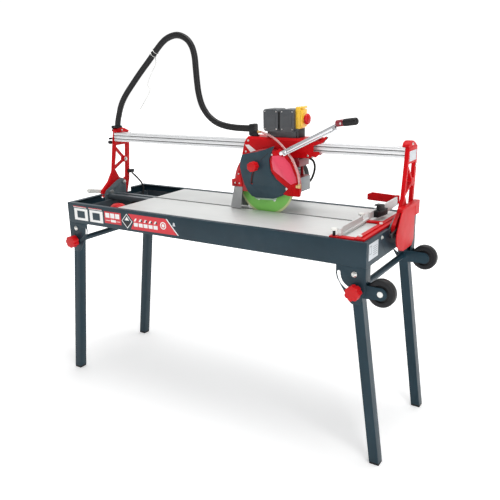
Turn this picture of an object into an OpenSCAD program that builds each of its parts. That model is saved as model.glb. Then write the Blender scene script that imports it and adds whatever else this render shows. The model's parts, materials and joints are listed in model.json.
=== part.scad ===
// Bridge wet tile saw: a water pan on four folding legs, a bridge that tilts for bevel cuts,
// and a carriage that slides along the bridge with the motor, the blade and its guard.
// Millimetres. X runs along the bridge, Y to the back and Z up.
// The origin is on the floor, under the middle of the saw.

/* [Frame] */
// Length of the pan frame
frame_l = 1380; // [1370:1:1400]
// Width of the pan frame
frame_w = 494; // [490:1:500]
// Height of the frame's top rim above the floor
rim_z = 805; // [800:1:820]
// Height of the frame's side panels
panel_h = 87; // [80:1:95]
// Sheet thickness of the frame
sheet = 3; // [2:0.5:4]
// Width of the frame's inward top flange
flange_w = 20; // [15:1:24]

/* [Legs] */
// Side of the square leg tube
leg_w = 35; // [30:1:38]
// Outward splay of the legs in degrees
leg_splay = 7.5; // [5:0.5:9]
// Distance of the leg pivots from the middle of the frame
leg_x = 650; // [640:1:655]
// Diameter of the transport wheels
wheel_d = 96; // [80:1:98]

/* [Bridge] */
// Height of the aluminium beam's profile
beam_h = 38; // [34:1:42]
// Depth of the aluminium beam's profile
beam_w = 50; // [44:1:56]
// Outer diameter of the cable conduit
conduit_d = 27; // [24:1:30]

/* [Cutting head] */
// Diameter of the blade
blade_d = 250; // [230:1:252]
// Thickness of the blade
blade_t = 2.2; // [1.6:0.1:3]
// Place of the blade's centre along the bridge, with the head parked right of the middle
head_x = 161; // [150:1:170]
// Diameter of the motor housing
motor_d = 130; // [120:1:130]

/* [Colours] */
// Frame paint
paint_c = "#3D4B57";
// Castings and covers
red_c = "#C81318";
// Moulded black plastic and rubber
black_c = "#222426";
// Aluminium plates
alu_c = "#D5D7D6";

/* [Hidden] */
$fn = 48;

run = 0.05;                                  // radial clearance of every running fit
half_l = frame_l / 2;
half_w = frame_w / 2;
panel_z = rim_z - panel_h;                   // underside of the frame
table_z = rim_z - 2;                         // top of the aluminium plates
plate_t = 4;
slot_y = [8, 24];                            // blade slot between the two table plates
rail_z = table_z - plate_t;                  // top of the centre rails
rail_h = 20;

pivot_y = 15;                                // tilt axis, in the blade's own plane
pivot_z = table_z;
pin_d = 12;
column_x = half_l + 2;                       // inner face of each bridge column
column_t = 14;
clamp_r = 92;                                // radius of the bevel clamp's arc slot
clamp_a = 22.4;                              // its angle above the axis when the bridge is upright
tilt_max = 45;
beam_y = 70;
beam_z = 1032;
beam_top = beam_z + beam_h;
head_top = beam_top;                         // top of the columns

leg_z = 693;                                 // height of the leg pivots
leg_y = 226;                                 // centre of each leg tube
leg_pin_d = 10;
lock_r = 56;                                 // distance from a leg's pivot to its clamp knob
lock_x = leg_x + lock_r * sin(leg_splay);
lock_z = leg_z - lock_r * cos(leg_splay);
foot_x = leg_x + leg_z * tan(leg_splay);
foot_half = leg_w / 2 / cos(leg_splay);      // half the foot's length on the floor
foot_h = 8;                                  // height of the rubber cap under each leg
wheel_x = leg_x + 89;
wheel_z = leg_z - 56;
wheel_w = 29;
wheel_y = leg_y - 1.5;
axle_d = 12;

blade_z = 912;
blade_y = pivot_y;
motor_r = motor_d / 2;
arbor_d = 20;
guard_r = 133;
guard_front = -8;
guard_back = 44;
guard_low = 877;
flap_x = 272;                                // hinge of the guard flap
flap_z = 903;
flap_r = 162;                                // radius of the flap's arc slot
flap_a = 150.6;                              // direction of the depth knob from the hinge
cover_front = -19;

saddle_front = 48;
saddle_back = 142;
saddle_top = 1086;
saddle_t = 4;
roller_r = 10;
roller_gap = 0.3;
roller_x = [60, 326];
roller_y = [80, 110];
axle_small = 8;
hinge_x = 285;                               // hinge of the switch's lid
hinge_z = 1200;
stop_y = 94;                                 // centre of the stop button
stop_z = 1156;
fence_z = rim_z + 5.3;                       // underside of the fence
fence_screws = [[565, -225], [561, 16]];
fence_turn = -8;                             // angle of the far fence plate
lever_pin = [613, 247];
screw_d = 10;
rod_x = 262;
rod_ys = [72, 122];
rod_d = 12;

// The saw's ends reach the left foot and the right wheel, and the origin lies half way between them.
centre_x = (wheel_x + wheel_d / 2 - foot_x - foot_half) / 2;

// Routes of the hoses and cables
feed_pts = [
    [-582, -95, 752], [-604, -90, 750], [-626, -60, 742], [-640, 0, 738], [-646, 80, 738], [-648, 150, 744],
    [-650, 188, 762], [-656, 204, 790], [-664, 202, 818], [-674, 184, 846], [-680, 166, 866], [-682, 160, 872]
];
conduit_pts = [
    [-684, 92, 1095], [-682, 92, 1112], [-674, 92, 1140], [-651, 92, 1195], [-619, 92, 1239],
    [-571, 92, 1288], [-519, 92, 1338], [-469, 92, 1383], [-402, 92, 1445], [-358, 92, 1473],
    [-307, 92, 1483], [-263, 92, 1469], [-235, 92, 1441], [-221, 92, 1400], [-217, 92, 1350],
    [-214, 92, 1302], [-208, 92, 1250], [-193, 92, 1201], [-165, 92, 1162], [-125, 92, 1134],
    [-80, 92, 1120], [-30, 92, 1114], [12, 92, 1113], [46, 92, 1113]
];
wire_pts = [
    [-630, 114, 1071], [-628, 116, 1084], [-577, 132, 1172], [-502, 122, 1256], [-508, 117, 1284],
    [-478, 112, 1330], [-447, 109, 1372], [-432, 107, 1408]
];
cable_pts = [
    [244, 139, 992], [244, 152, 992], [249, 168, 993], [258, 180, 994], [270, 186, 990], [280, 188, 980],
    [285, 188, 964], [285, 186, 946], [282, 181, 928], [276, 174, 910], [266, 166, 897], [256, 160, 891],
    [246, 158, 890]
];
water_pts = [
    [110, 66, 1104], [122, 63, 1101], [151, 50, 1096], [191, 35, 1083], [224, 15, 1070], [248, 0, 1058],
    [266, -10, 1046], [283, -22, 1034], [306, -32, 1016], [323, -34, 980], [330, -32, 953], [331, -30, 930]
];

// ---------------------------------------------------------------- helpers
module place() { translate([-centre_x, 0, 0]) children(); }

// Extrudes an outline drawn in X and Z from y0 to y1
module xz(y0, y1) { translate([0, y1, 0]) rotate([90, 0, 0]) linear_extrude(y1 - y0) children(); }

// Extrudes an outline drawn in Y and Z from x0 to x1
module yz(x0, x1) { translate([x0, 0, 0]) rotate([90, 0, 90]) linear_extrude(x1 - x0) children(); }

module block(lo, hi) { translate(lo) cube(hi - lo); }

module rod_along_x(y, z, d, x0, x1) { translate([x0, y, z]) rotate([0, 90, 0]) cylinder(h = x1 - x0, d = d); }

module rod_along_y(x, z, d, y0, y1) { translate([x, y1, z]) rotate([90, 0, 0]) cylinder(h = y1 - y0, d = d); }

module rod_along_z(x, y, d, z0, z1) { translate([x, y, z0]) cylinder(h = z1 - z0, d = d); }

// Rectangle with round corners
module round_rect(lo, hi, r) {
    translate([lo[0] + r, lo[1]]) square([hi[0] - lo[0] - 2 * r, hi[1] - lo[1]]);
    translate([lo[0], lo[1] + r]) square([hi[0] - lo[0], hi[1] - lo[1] - 2 * r]);
    for (x = [lo[0] + r, hi[0] - r], y = [lo[1] + r, hi[1] - r]) translate([x, y]) circle(r);
}

// Straight bar of width w between two points, with round ends
module bar(a, b, w) {
    d = b - a;
    translate(a) rotate(atan2(d[1], d[0])) translate([0, -w / 2]) square([norm(d), w]);
    for (end = [a, b]) translate(end) circle(d = w + 0.4);
}

// Curved slot of width w about the origin
module arc_slot(r, w, a0, a1) {
    steps = 24;
    outer = [for (i = [0:steps]) let (a = a0 + (a1 - a0) * i / steps) (r + w / 2) * [cos(a), sin(a)]];
    inner = [for (i = [steps:-1:0]) let (a = a0 + (a1 - a0) * i / steps) (r - w / 2) * [cos(a), sin(a)]];
    polygon(concat(outer, inner));
    for (a = [a0, a1]) translate(r * [cos(a), sin(a)]) circle(d = w + 0.1);
}

module both_ends() { children(); mirror([1, 0, 0]) children(); }

module both_sides() { children(); mirror([0, 1, 0]) children(); }

// Low domed bolt head on the outer face of a plate, pointing along +Z
module dome_head(d, h) {
    rotate_extrude() intersection() {
        translate([0, h - d]) circle(d);
        square([d / 2, h]);
    }
}

// Star-shaped knob outline with round lobes
module lobed(d, n, lobe) {
    circle(d = d - lobe);
    for (i = [0:n - 1]) rotate(360 * i / n) translate([d / 2 - lobe / 2, 0]) circle(d = lobe);
}

function unit(v) = v / norm(v);
function tangents(p) = [for (i = [0:len(p) - 1]) unit(p[min(i + 1, len(p) - 1)] - p[max(i - 1, 0)])];
function side_of(t, prev) = unit(prev - t * (prev * t));
function frames(t, i, prev) = i == len(t) ? [] : let (s = side_of(t[i], prev)) concat([s], frames(t, i + 1, s));

// Round tube swept along a list of points
module tube(pts, d, sides, first_side) {
    t = tangents(pts);
    s = frames(t, 0, first_side);
    ring = [for (i = [0:len(pts) - 1], k = [0:sides - 1])
        pts[i] + d / 2 * (cos(360 * k / sides) * s[i] + sin(360 * k / sides) * cross(t[i], s[i]))];
    skin = [for (i = [0:len(pts) - 2], k = [0:sides - 1]) let (n = (k + 1) % sides)
        [i * sides + k, (i + 1) * sides + k, (i + 1) * sides + n, i * sides + n]];
    last = (len(pts) - 1) * sides;
    polyhedron(ring, concat(skin, [[for (k = [0:sides - 1]) k]], [[for (k = [sides - 1:-1:0]) last + k]]));
}

// Points on a smooth curve through the route, n new points in each span
function spline(p, n) = concat([for (i = [0:len(p) - 2], j = [0:n - 1]) let (
    u = j / n, a = p[max(i - 1, 0)], b = p[i], c = p[i + 1], d = p[min(i + 2, len(p) - 1)])
    b + u * (c - a) / 2 + u * u * (2 * a - 5 * b + 4 * c - d) / 2 + u * u * u * (3 * b - a - 3 * c + d) / 2],
    [p[len(p) - 1]]);

// ---------------------------------------------------------------- frame
module chassis() place() color(paint_c) difference() {
    notch = [-45, 150];
    notch_h = 20;
    low_flange = 15;
    block([-half_l, -half_w, panel_z], [half_l, half_w, rim_z]);
    block([sheet - half_l, sheet - half_w, panel_z + sheet], [half_l - sheet, half_w - sheet, rim_z - sheet]);
    block([low_flange - half_l, low_flange - half_w, panel_z - 1],
        [half_l - low_flange, half_w - low_flange, panel_z + sheet + 1]);
    block([flange_w - half_l, flange_w - half_w, rim_z - sheet - 1],
        [half_l - flange_w, half_w - flange_w, rim_z + 1]);
    both_ends() block([half_l - flange_w - 1, notch[0], rim_z - notch_h], [half_l + 1, notch[1], rim_z + 1]);
}

module water_tray() place() color("#2A2E33") difference() {
    tray_x = half_l - 25;
    tray_y = half_w - 7;
    tray_top = panel_z + 58;
    wall = 3;
    floor_z = panel_z + sheet;
    block([-tray_x, -tray_y, floor_z], [tray_x, tray_y, tray_top]);
    block([wall - tray_x, wall - tray_y, floor_z + wall], [tray_x - wall, tray_y - wall, tray_top + 1]);
}

module table_plates() place() color(alu_c) {
    x_ends = [-418, half_l - flange_w - 2];
    front = flange_w - half_w;
    block([x_ends[0], front, rail_z], [x_ends[1], slot_y[0], table_z]);
    block([x_ends[0], slot_y[1], rail_z], [x_ends[1], -front, table_z]);
}

// Two rails beside the blade slot, and bars across the pan that carry the plates
module centre_rails() place() color("#4A4F54") {
    rail_x = half_l - 14;
    rails = [[-12, 8], [30, 50]];
    low = rail_z - rail_h;
    for (r = rails) block([-rail_x, r[0], low], [rail_x, r[1], rail_z]);
    for (x = [-418, 125, 640]) {
        block([x, sheet - half_w, low], [x + 20, rails[0][0], rail_z]);
        block([x, rails[1][1], low], [x + 20, half_w - sheet, rail_z]);
        block([x, rails[0][0], low - 12], [x + 20, rails[1][1], low]);
    }
}

// Corner plates that hang below the frame and hold the leg pivots
module leg_gussets() place() color(paint_c) both_ends() both_sides() {
    edge = half_l;
    side_low = 662;
    inner_y = 206;
    difference() {
        union() {
            xz(-half_w, sheet - half_w) polygon([[584, panel_z], [584, 688], [588, 672], [636, 594],
                [644, 588], [672, 588], [edge, 640], [edge, panel_z]]);
            block([edge - sheet, -half_w, side_low], [edge, -inner_y, panel_z]);
            block([584, -half_w, panel_z - sheet], [edge, -inner_y, panel_z]);
        }
        rod_along_y(leg_x, leg_z, leg_pin_d, -half_w - 1, sheet - half_w + 1);
        xz(-half_w - 1, sheet - half_w + 1) translate([leg_x, leg_z])
            arc_slot(lock_r, 12, 180, 270 + leg_splay);
    }
}

// Plates inside the end walls that carry the tilt pivots
module tilt_brackets() place() color("#4A4F54") both_ends() {
    face = half_l - sheet;
    difference() {
        yz(face - 4, face) polygon([[-28, 745], [-28, 800], [-15, 816], [13, 830], [59, 853], [91, 859],
            [114, 845], [114, 745]]);
        rod_along_x(pivot_y, pivot_z, pin_d, face - 5, face + 1);
        rod_along_x(pivot_y + clamp_r * cos(clamp_a), pivot_z + clamp_r * sin(clamp_a), 11, face - 5, face + 1);
    }
    for (p = [[-15, 796], [35, 793]]) translate([face - 4, p[0], p[1]]) rotate([0, -90, 0]) dome_head(12, 4);
}

// Tilt pivots, bevel clamp studs and leg pivot bolts
module pivot_pins() place() color("#B9BCBE") {
    inside = half_l - sheet - 4;
    both_ends() {
        rod_along_x(pivot_y, pivot_z, pin_d, inside, column_x + column_t + 14);
        rod_along_x(pivot_y, pivot_z, 22, inside - 6, inside);
        clamp_y = pivot_y + clamp_r * cos(clamp_a);
        clamp_z = pivot_z + clamp_r * sin(clamp_a);
        rod_along_x(clamp_y, clamp_z, 11, inside, column_x + column_t + 1);
        rod_along_x(clamp_y, clamp_z, 18, inside - 6, inside);
        rod_along_x(clamp_y, clamp_z, 16, column_x + column_t + 1, column_x + column_t + 7);
        both_sides() {
            rod_along_y(leg_x, leg_z, leg_pin_d, -half_w, -leg_y + leg_w / 2 + 1);
            rod_along_y(leg_x, leg_z, 18, -leg_y + leg_w / 2 + 1, -leg_y + leg_w / 2 + 8);
            translate([leg_x, -half_w, leg_z]) rotate([90, 0, 0]) dome_head(20, 5);
        }
    }
}

// Submersible pump that stands in the pan
module water_pump() place() color(red_c) translate([-540, -95, panel_z + sheet + 3]) {
    rotate_extrude() polygon([[0, 0], [44, 0], [44, 8], [36, 10], [36, 40], [32, 50], [22, 57], [10, 60], [0, 60]]);
    translate([0, 0, 28]) rotate([0, -90, 0]) cylinder(h = 42, d = 14);
}

// Channel on the right rim that guides the fence
module fence_rail() place() color(red_c) difference() {
    arm_h = 5;
    union() {
        block([640, -235, rim_z], [676, 215, rim_z + 7]);
        block([552, -237, rim_z], [640, -213, rim_z + arm_h]);
        block([548, 4, rim_z], [640, 28, rim_z + arm_h]);
        for (y = [-205, -20, 190]) rod_along_z(650, y, 13, rim_z + 7, rim_z + 12);
    }
    block([656, -225, rim_z + 3], [670, 205, rim_z + 8]);
    for (p = fence_screws) rod_along_z(p[0], p[1], screw_d + 2 * run, rim_z - 1, rim_z + arm_h + 1);
}

module feed_tube() place() color(black_c) tube(spline(feed_pts, 2), 8, 8, [0, 0, 1]);

// ---------------------------------------------------------------- bridge
// Truss-shaped end casting that pivots on the frame
module column(x0) color(red_c) difference() {
    union() {
        yz(x0, x0 + column_t) {
            difference() {
                polygon([[78, head_top], [70, 1035], [58, 963], [46, 895], [15, 850], [-30, 815],
                    [-34, 797], [-22, 782], [10, 772], [60, 745], [100, 742], [121, 753], [150, 845],
                    [156, 900], [161, 950], [167, 1005], [168, 1063], [166, head_top]]);
                polygon([[80, 1012], [150, 1012], [144, 950], [139, 900], [133, 856], [110, 848],
                    [83, 863], [58, 905], [64, 935], [71, 965]]);
            }
            bar([76, 1002], [133, 943], 9);
            bar([60, 908], [133, 943], 9);
            translate([131, 943]) circle(14);
        }
        rod_along_x(131, 943, 30, x0 - 3, x0 + column_t);
    }
    rod_along_x(pivot_y, pivot_z, pin_d + 2 * run, x0 - 5, x0 + column_t + 5);
    yz(x0 - 1, x0 + column_t + 1) translate([pivot_y, pivot_z])
        arc_slot(clamp_r, 12, clamp_a - tilt_max - 0.2, clamp_a + 0.2);
}

module column_left() place() mirror([1, 0, 0]) column(column_x);

module column_right() place() column(column_x);

// Aluminium extrusion with two long grooves in its front face
module bridge_beam() place() color(alu_c) yz(-column_x, column_x) difference() {
    groove = 3;
    translate([beam_y, beam_z]) square([beam_w, beam_h]);
    for (z = [10, 25]) translate([beam_y - 1, beam_z + z]) square([groove + 1, groove]);
    translate([beam_y + 6, beam_z + 4]) square([beam_w - 10, beam_h - 8]);
}

// Arched caps over the ends of the beam
module end_caps() place() color(red_c) both_ends()
    yz(column_x - 12, column_x + column_t) polygon([[76, head_top], [76, 1079], [84, 1087], [100, 1092],
        [120, 1091], [138, 1085], [154, 1077], [164, head_top]]);

// Cover over the right pivot
module pivot_cover() place() color(red_c) {
    inner = column_x + column_t;
    skin = inner + 16;
    yz(skin, skin + 3) polygon([[-22, 862], [-62, 800], [-68, 772], [-60, 750], [-30, 728], [10, 716],
        [98, 716], [119, 737], [119, 862]]);
    yz(inner, skin) polygon([[10, 716], [98, 716], [119, 737], [119, 858], [116, 858], [116, 738],
        [97, 719], [10, 719]]);
    yz(inner, inner + 20) polygon([[-20, 858], [-20, 872], [166, 872], [166, 822], [119, 822], [119, 858]]);
}

// Clamp, clips and the spring wire that hold the conduit and the feed tube
module hose_support() place() color(black_c) {
    difference() {
        union() {
            rod_along_z(-683.5, 92, conduit_d + 11, 1093, 1101);
            block([-716, 82, 1093], [-700, 102, 1101]);
            block([-716, 82, 1076], [-column_x - column_t, 102, 1094]);
        }
        rod_along_z(-683.5, 92, conduit_d + 3, 1092, 1102);
    }
    mirror([1, 0, 0]) {
        block([column_x - 20, 140, 876], [column_x, 166, 890]);
        rod_along_x(62, 1027, 16, column_x + column_t, column_x + column_t + 12);
        block([column_x + column_t, 56, 1040], [column_x + column_t + 8, 72, 1048]);
    }
    tube(spline(wire_pts, 2), 3, 8, [0, 1, 0]);
    translate([-436, 92, 1416]) rotate([0, 47, 0]) difference() {
        cylinder(h = 10, d = conduit_d + 9, center = true);
        cylinder(h = 12, d = conduit_d + 3, center = true);
    }
}

module conduit() place() color("#2B2D2F") tube(spline(conduit_pts, 2), conduit_d, 12, [0, 1, 0]);

// ---------------------------------------------------------------- carriage
// Inverted channel that runs along the beam on two pads, with rollers under it
module carriage_saddle() place() color(red_c) {
    inner = saddle_t;
    intersection() {
        yz(20, 360) difference() {
            polygon([[saddle_front, 1000], [saddle_front, 1078], [54, saddle_top], [136, saddle_top],
                [saddle_back, 1078], [saddle_back, 1000]]);
            polygon([[saddle_front + inner, 999], [saddle_front + inner, 1076], [57, saddle_top - 3],
                [133, saddle_top - 3], [saddle_back - inner, 1076], [saddle_back - inner, 999]]);
        }
        xz(40, 150) polygon([[29, 1014], [43, 1064], [53, 1080], [60, 1100], [344, 1100], [350, 1077],
            [346, 1025], [335, 1016], [260, 1013]]);
    }
    xz(saddle_front, 58) polygon([[346, 1076], [372, 1080], [398, 1099], [407, 1095], [386, 1074], [348, 1062]]);
    xz(saddle_front, 58) polygon([[346, 1040], [366, 1040], [374, 1034], [356, 1019], [344, 1024]]);
    for (x = roller_x) {
        rod_along_y(x, beam_z - roller_r - roller_gap, axle_small, saddle_front + inner, saddle_back - inner);
        block([x - 12, 70, beam_top + roller_gap], [x + 12, 120, saddle_top - 2]);
    }
}

// Black block that holds the conduit's end, and the brass hose fitting
module conduit_clamp() place() color(black_c) {
    fit_y = 66;
    fit_z = 1104;
    xz(76, 108) round_rect([46.5, saddle_top], [70, 1132], 6);
    block([68, 61, saddle_top], [94, 80, 1092]);
    block([76, 61, saddle_top], [94, 71, fit_z]);
    rod_along_x(fit_y, fit_z, 14, 76, 96);
    rod_along_x(fit_y, fit_z, 10, 96, 108.4);
}

module control_box() place() color("#3F434A") {
    xz(60, 130) round_rect([124, 1108], [190, 1193], 12);
    xz(60, 130) round_rect([199, 1108], [260, 1193], 12);
    xz(66, 124) round_rect([180, 1112], [210, 1184], 4);
    block([140, 64, saddle_top], [266, 126, 1112]);
    block([240, 70, saddle_top], [274, 124, 1120]);
}

// Yellow switch box with a hinge barrel at its top
module switch_housing() place() color("#F5CC4A") difference() {
    union() {
        xz(74, 114) round_rect([260, 1120], [280, 1202], 5);
        for (y = [76, 104]) {
            rod_along_y(hinge_x, hinge_z, 8, y, y + 8);
            block([276, y, hinge_z - 3.4], [hinge_x, y + 8, hinge_z]);
        }
    }
    rod_along_y(hinge_x, hinge_z, 4, 70, 118);
}

// Lid over the switch, with the hinge pin at its top
module switch_flap() place() color("#F5CC4A") difference() {
    union() {
        block([281, 74, 1126], [287, 114, 1192]);
        rod_along_y(hinge_x, hinge_z, 4 - 2 * run, 76, 112);
        rod_along_y(hinge_x, hinge_z, 8, 85, 103);
        block([282, 85, 1191], [286, 103, hinge_z]);
        rod_along_x(stop_y, stop_z, 30, 287, 289.5);
    }
    rod_along_x(stop_y, stop_z, 12 + 2 * run, 280, 290);
}

// Mushroom button that pushes in towards the switch
module stop_button() place() color("#C21508") {
    rod_along_x(stop_y, stop_z, 12, 284, 295);
    translate([293.5, stop_y, stop_z]) rotate([0, 90, 0]) rotate_extrude()
        polygon([[0, 0], [18, 0], [21, 3.5], [21, 8], [18, 12], [11, 15], [0, 16]]);
}

// Bracket under the saddle with the two guide rods of the cutting head
module rod_bracket() place() color("#8E1014") {
    block([232, 56, 978], [285, 138, 1008]);
    for (y = [[saddle_front + saddle_t, 58], [136, saddle_back - saddle_t]])
        block([240, y[0], 1000], [282, y[1], 1024]);
    for (y = rod_ys) rod_along_z(rod_x, y, rod_d, 870, 978);
}

module roller(x) place() color("#D8D8D4") translate([x, 0, beam_z - roller_r - roller_gap]) difference() {
    rod_along_y(0, 0, 2 * roller_r, roller_y[0], roller_y[1]);
    rod_along_y(0, 0, axle_small + 2 * run, roller_y[0] - 1, roller_y[1] + 1);
    translate([0, roller_y[0] + 15, 0]) rotate([90, 0, 0]) rotate_extrude()
        polygon([[roller_r - 0.8, -2], [roller_r + 1, -2], [roller_r + 1, 2], [roller_r - 0.8, 2]]);
}

module roller_left() roller(roller_x[0]);
module roller_right() roller(roller_x[1]);

// ---------------------------------------------------------------- cutting head
// Fixed shell over the upper part of the blade
module guard_body() place() color("#6E1518") {
    wall = 3;
    difference() {
        xz(guard_front, guard_back) intersection() {
            translate([head_x, blade_z]) circle(guard_r, $fn = 96);
            translate([head_x - 2 * guard_r, guard_low]) square(4 * guard_r);
        }
        xz(guard_front + wall, guard_back - wall) intersection() {
            translate([head_x, blade_z]) circle(guard_r - wall, $fn = 96);
            translate([head_x - 2 * guard_r, guard_low - 1]) square(4 * guard_r);
        }
        rod_along_y(head_x, blade_z, 62, guard_back - wall - 1, guard_back + 1);
    }
    rod_along_y(flap_x, flap_z, 16, cover_front + 3, guard_front);
    knob_x = flap_x + flap_r * cos(flap_a);
    knob_z = flap_z + flap_r * sin(flap_a);
    rod_along_y(knob_x, knob_z, 9, -38, guard_front);
}

// Red cover over the hinge side of the guard, with its raised panel and ribbed block
module side_cover() place() color(red_c) {
    skin = 3;
    rim_r = 165;
    rim_w = 15;
    xz(cover_front, cover_front + skin) difference() {
        polygon(concat([[199, 1006], [203, 969], [226, 940], [276, 905], [256, 884], [275, 878]],
            [for (a = [-12:9:60]) [head_x, blade_z] + rim_r * [cos(a), sin(a)] + [-2 * (a > 40 ? 1 : 0), 0]],
            [[212, 1040]]));
    }
    xz(cover_front + skin, cover_front + rim_w) translate([head_x, blade_z]) polygon(concat(
        [for (a = [-12:3:33]) rim_r * [cos(a), sin(a)]],
        [for (a = [33:-3:-12]) (rim_r - skin) * [cos(a), sin(a)]]));
    block([291, cover_front + skin, guard_low], [321, cover_front + rim_w, guard_low + skin]);
    for (p = [[270, 975], [283, 935]]) rod_along_y(p[0], p[1], 10, cover_front + skin, guard_front);
    xz(cover_front - 1.5, cover_front) polygon([[210, 1026], [236, 1029], [262, 1024], [287, 1000],
        [311, 950], [314, 931], [290, 922], [214, 972], [207, 1004]]);
    xz(cover_front - 5, cover_front) polygon([[280, 918], [318, 934], [324, 925], [320, 882], [282, 882]]);
    for (i = [0:4]) block([284 + 8 * i, cover_front - 7, 886], [287 + 8 * i, cover_front - 5, 914]);
    rod_along_z(331, -30, 12, 914, 930);
    block([316, -30, 914], [331, cover_front - 4, 924]);
}

// Bracket that clamps the splash skirt to the guard
module skirt_holder() place() color(red_c) {
    front = -12;
    xz(front, guard_front) polygon([[50, 960], [38, 928], [22, 922], [20, 894], [64, 895], [62, 922], [56, 940]]);
    block([16, front, 894], [20, guard_back + 4, 922]);
    xz(guard_back, guard_back + 4) polygon([[40, 928], [20, 922], [20, 894], [64, 895], [62, 922]]);
}

// U-shaped rubber skirt that hangs round the front of the blade
module splash_skirt() place() color("#6F7476") {
    low = rim_z + 1;
    top = 894;
    thick = 3;
    both = [[-12, -12 + thick], [guard_back, guard_back + thick]];
    for (y = both) xz(y[0], y[1]) polygon([[20, top], [0, low], [56, low], [66, top]]);
    xz(both[0][1], both[1][0]) polygon([[20, top], [0, low], [thick, low], [20 + thick, top]]);
}

// Slide block that joins the motor to the guide rods
module motor_mount() place() color("#8E1014") difference() {
    block([205, 56, 880], [290, 138, 936]);
    rod_along_y(head_x, blade_z, motor_d, 50, 140);
    for (y = rod_ys) rod_along_z(rod_x, y, rod_d + 2 * run, 870, 940);
}

module motor_housing() place() color("#7E8487") difference() {
    union() {
        rod_along_y(head_x, blade_z, 60, guard_back - 3, 48);
        xz(48, 56) translate([head_x, blade_z]) circle(motor_r);
        xz(56, 138) translate([head_x, blade_z]) circle(motor_r);
        xz(138, 214) translate([head_x, blade_z]) {
            circle(motor_r - 6);
            for (i = [0:31]) rotate(360 / 32 * i) translate([motor_r - 10, -1.6]) square([10, 3.2]);
        }
        xz(140, 172) round_rect([head_x + 50, 874], [246, 906], 5);
    }
    rod_along_y(head_x, blade_z, arbor_d + 2 * run, guard_back - 4, 64);
}

// Black end shield with the cooling fan's grille
module fan_cover() place() color(black_c) translate([head_x, 214, blade_z]) rotate([-90, 0, 0]) difference() {
    rotate_extrude() polygon([[0, 0], [motor_r, 0], [motor_r, 40], [motor_r - 6, 50], [motor_r - 18, 56], [0, 56]]);
    for (i = [0:11]) rotate([0, 0, 30 * i]) translate([20, -3, 48]) cube([24, 6, 10]);
}

module motor_cable() place() color(black_c) tube(spline(cable_pts, 2), 9, 8, [1, 0, 0]);

// Flat chromed bar that carries the grip
module handle_bar() place() color("#C9CCCE") {
    back = cover_front - 1.5;
    rise = 26;
    rod_along_y(247, 1037, 13, back, cover_front);
    translate([247, back, 1037]) rotate([0, -rise, 0]) {
        translate([0, -4, -7]) cube([264, 4, 14]);
        translate([22, -9, -12]) rotate([0, 90, 0]) cylinder(h = 226, d = 7);
        translate([238, -12, -15]) cube([12, 8, 15]);
        translate([14, -12, -15]) cube([12, 8, 15]);
    }
}

module handle_grip() place() color(black_c) translate([484, -42, 1157]) rotate([0, 82, -8]) {
    cylinder(h = 30, d = 24);
    translate([0, 0, 30]) rotate_extrude() polygon([[0, 0], [13, 0], [13, 44], [11.5, 50], [7, 53], [0, 54]]);
}

module water_tube() place() color("#D9A7A4") tube(spline(water_pts, 2), 9, 8, [0, 0, 1]);

// Adjustable dark plate that hinges down over the blade
module guard_flap() place() color("#45484C") xz(-12.5, -9.5) difference() {
    polygon([[106, 1031], [69, 1023], [59, 997], [57, 972], [64, 941], [76, 907], [92, 879], [110, 862],
        [129, 857], [210, 860], [248, 875], [284, 894], [286, 908], [276, 917], [203, 955], [194, 981],
        [191, 1010], [199, 1032], [215, 1063], [174, 1048], [138, 1037]]);
    translate([flap_x, flap_z]) circle(d = 16 + 2 * run);
    translate([flap_x, flap_z]) arc_slot(flap_r, 11, flap_a - 1, flap_a + 26);
}

module depth_knob() place() color(red_c) {
    knob_x = flap_x + flap_r * cos(flap_a);
    knob_z = flap_z + flap_r * sin(flap_a);
    difference() {
        union() {
            xz(-47, -20) translate([knob_x, knob_z]) lobed(39, 7, 17);
            rod_along_y(knob_x, knob_z, 22, -20, -13.5);
        }
        rod_along_y(knob_x, knob_z, 9 + 2 * run, -39, -13);
    }
}

// Continuous-rim diamond blade with cooling holes
module blade() place() color("#6FB35A") difference() {
    rod_along_y(head_x, blade_z, blade_d, blade_y - blade_t / 2, blade_y + blade_t / 2);
    rod_along_y(head_x, blade_z, arbor_d, blade_y - 3, blade_y + 3);
    for (i = [0:5]) translate([head_x, 0, blade_z]) rotate([0, 60 * i, 0])
        rod_along_y(72, 0, 14, blade_y - 3, blade_y + 3);
}

// Motor shaft with the blade's flanges and nut
module arbor() place() color("#B9BCBE") {
    near = blade_y - blade_t / 2;
    far = blade_y + blade_t / 2;
    rod_along_y(head_x, blade_z, arbor_d, 0, 62);
    rod_along_y(head_x, blade_z, 60, near - 7, near);
    rod_along_y(head_x, blade_z, 60, far, far + 8);
    translate([head_x, near - 7, blade_z]) rotate([90, 0, 0]) cylinder(h = 9, d = 30, $fn = 6);
}

// ---------------------------------------------------------------- stand
// Square leg tube from its pivot down into its foot, at the right front corner
module leg() {
    slant = (leg_w / 2) / cos(leg_splay);
    shift = function (z) leg_x + (leg_z - z) * tan(leg_splay);
    low = foot_h;
    wall = 2;
    hollow_top = 672;
    difference() {
        xz(-leg_y - leg_w / 2, -leg_y + leg_w / 2) {
            polygon([[shift(low) - slant, low], [shift(low) + slant, low],
                [leg_x + leg_w / 2 * cos(leg_splay), leg_z + leg_w / 2 * sin(leg_splay)],
                [leg_x - leg_w / 2 * cos(leg_splay), leg_z - leg_w / 2 * sin(leg_splay)]]);
            translate([leg_x, leg_z]) circle(leg_w / 2);
        }
        xz(-leg_y - leg_w / 2 + wall, -leg_y + leg_w / 2 - wall) polygon([
            [shift(low) - slant + wall, low - 1], [shift(low) + slant - wall, low - 1],
            [shift(hollow_top) + slant - wall, hollow_top], [shift(hollow_top) - slant + wall, hollow_top]]);
        rod_along_y(leg_x, leg_z, leg_pin_d + 2 * run, -leg_y - leg_w, -leg_y + leg_w);
        rod_along_y(lock_x, lock_z, leg_pin_d + 2 * run, -leg_y - leg_w, -leg_y + leg_w);
    }
}

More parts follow.
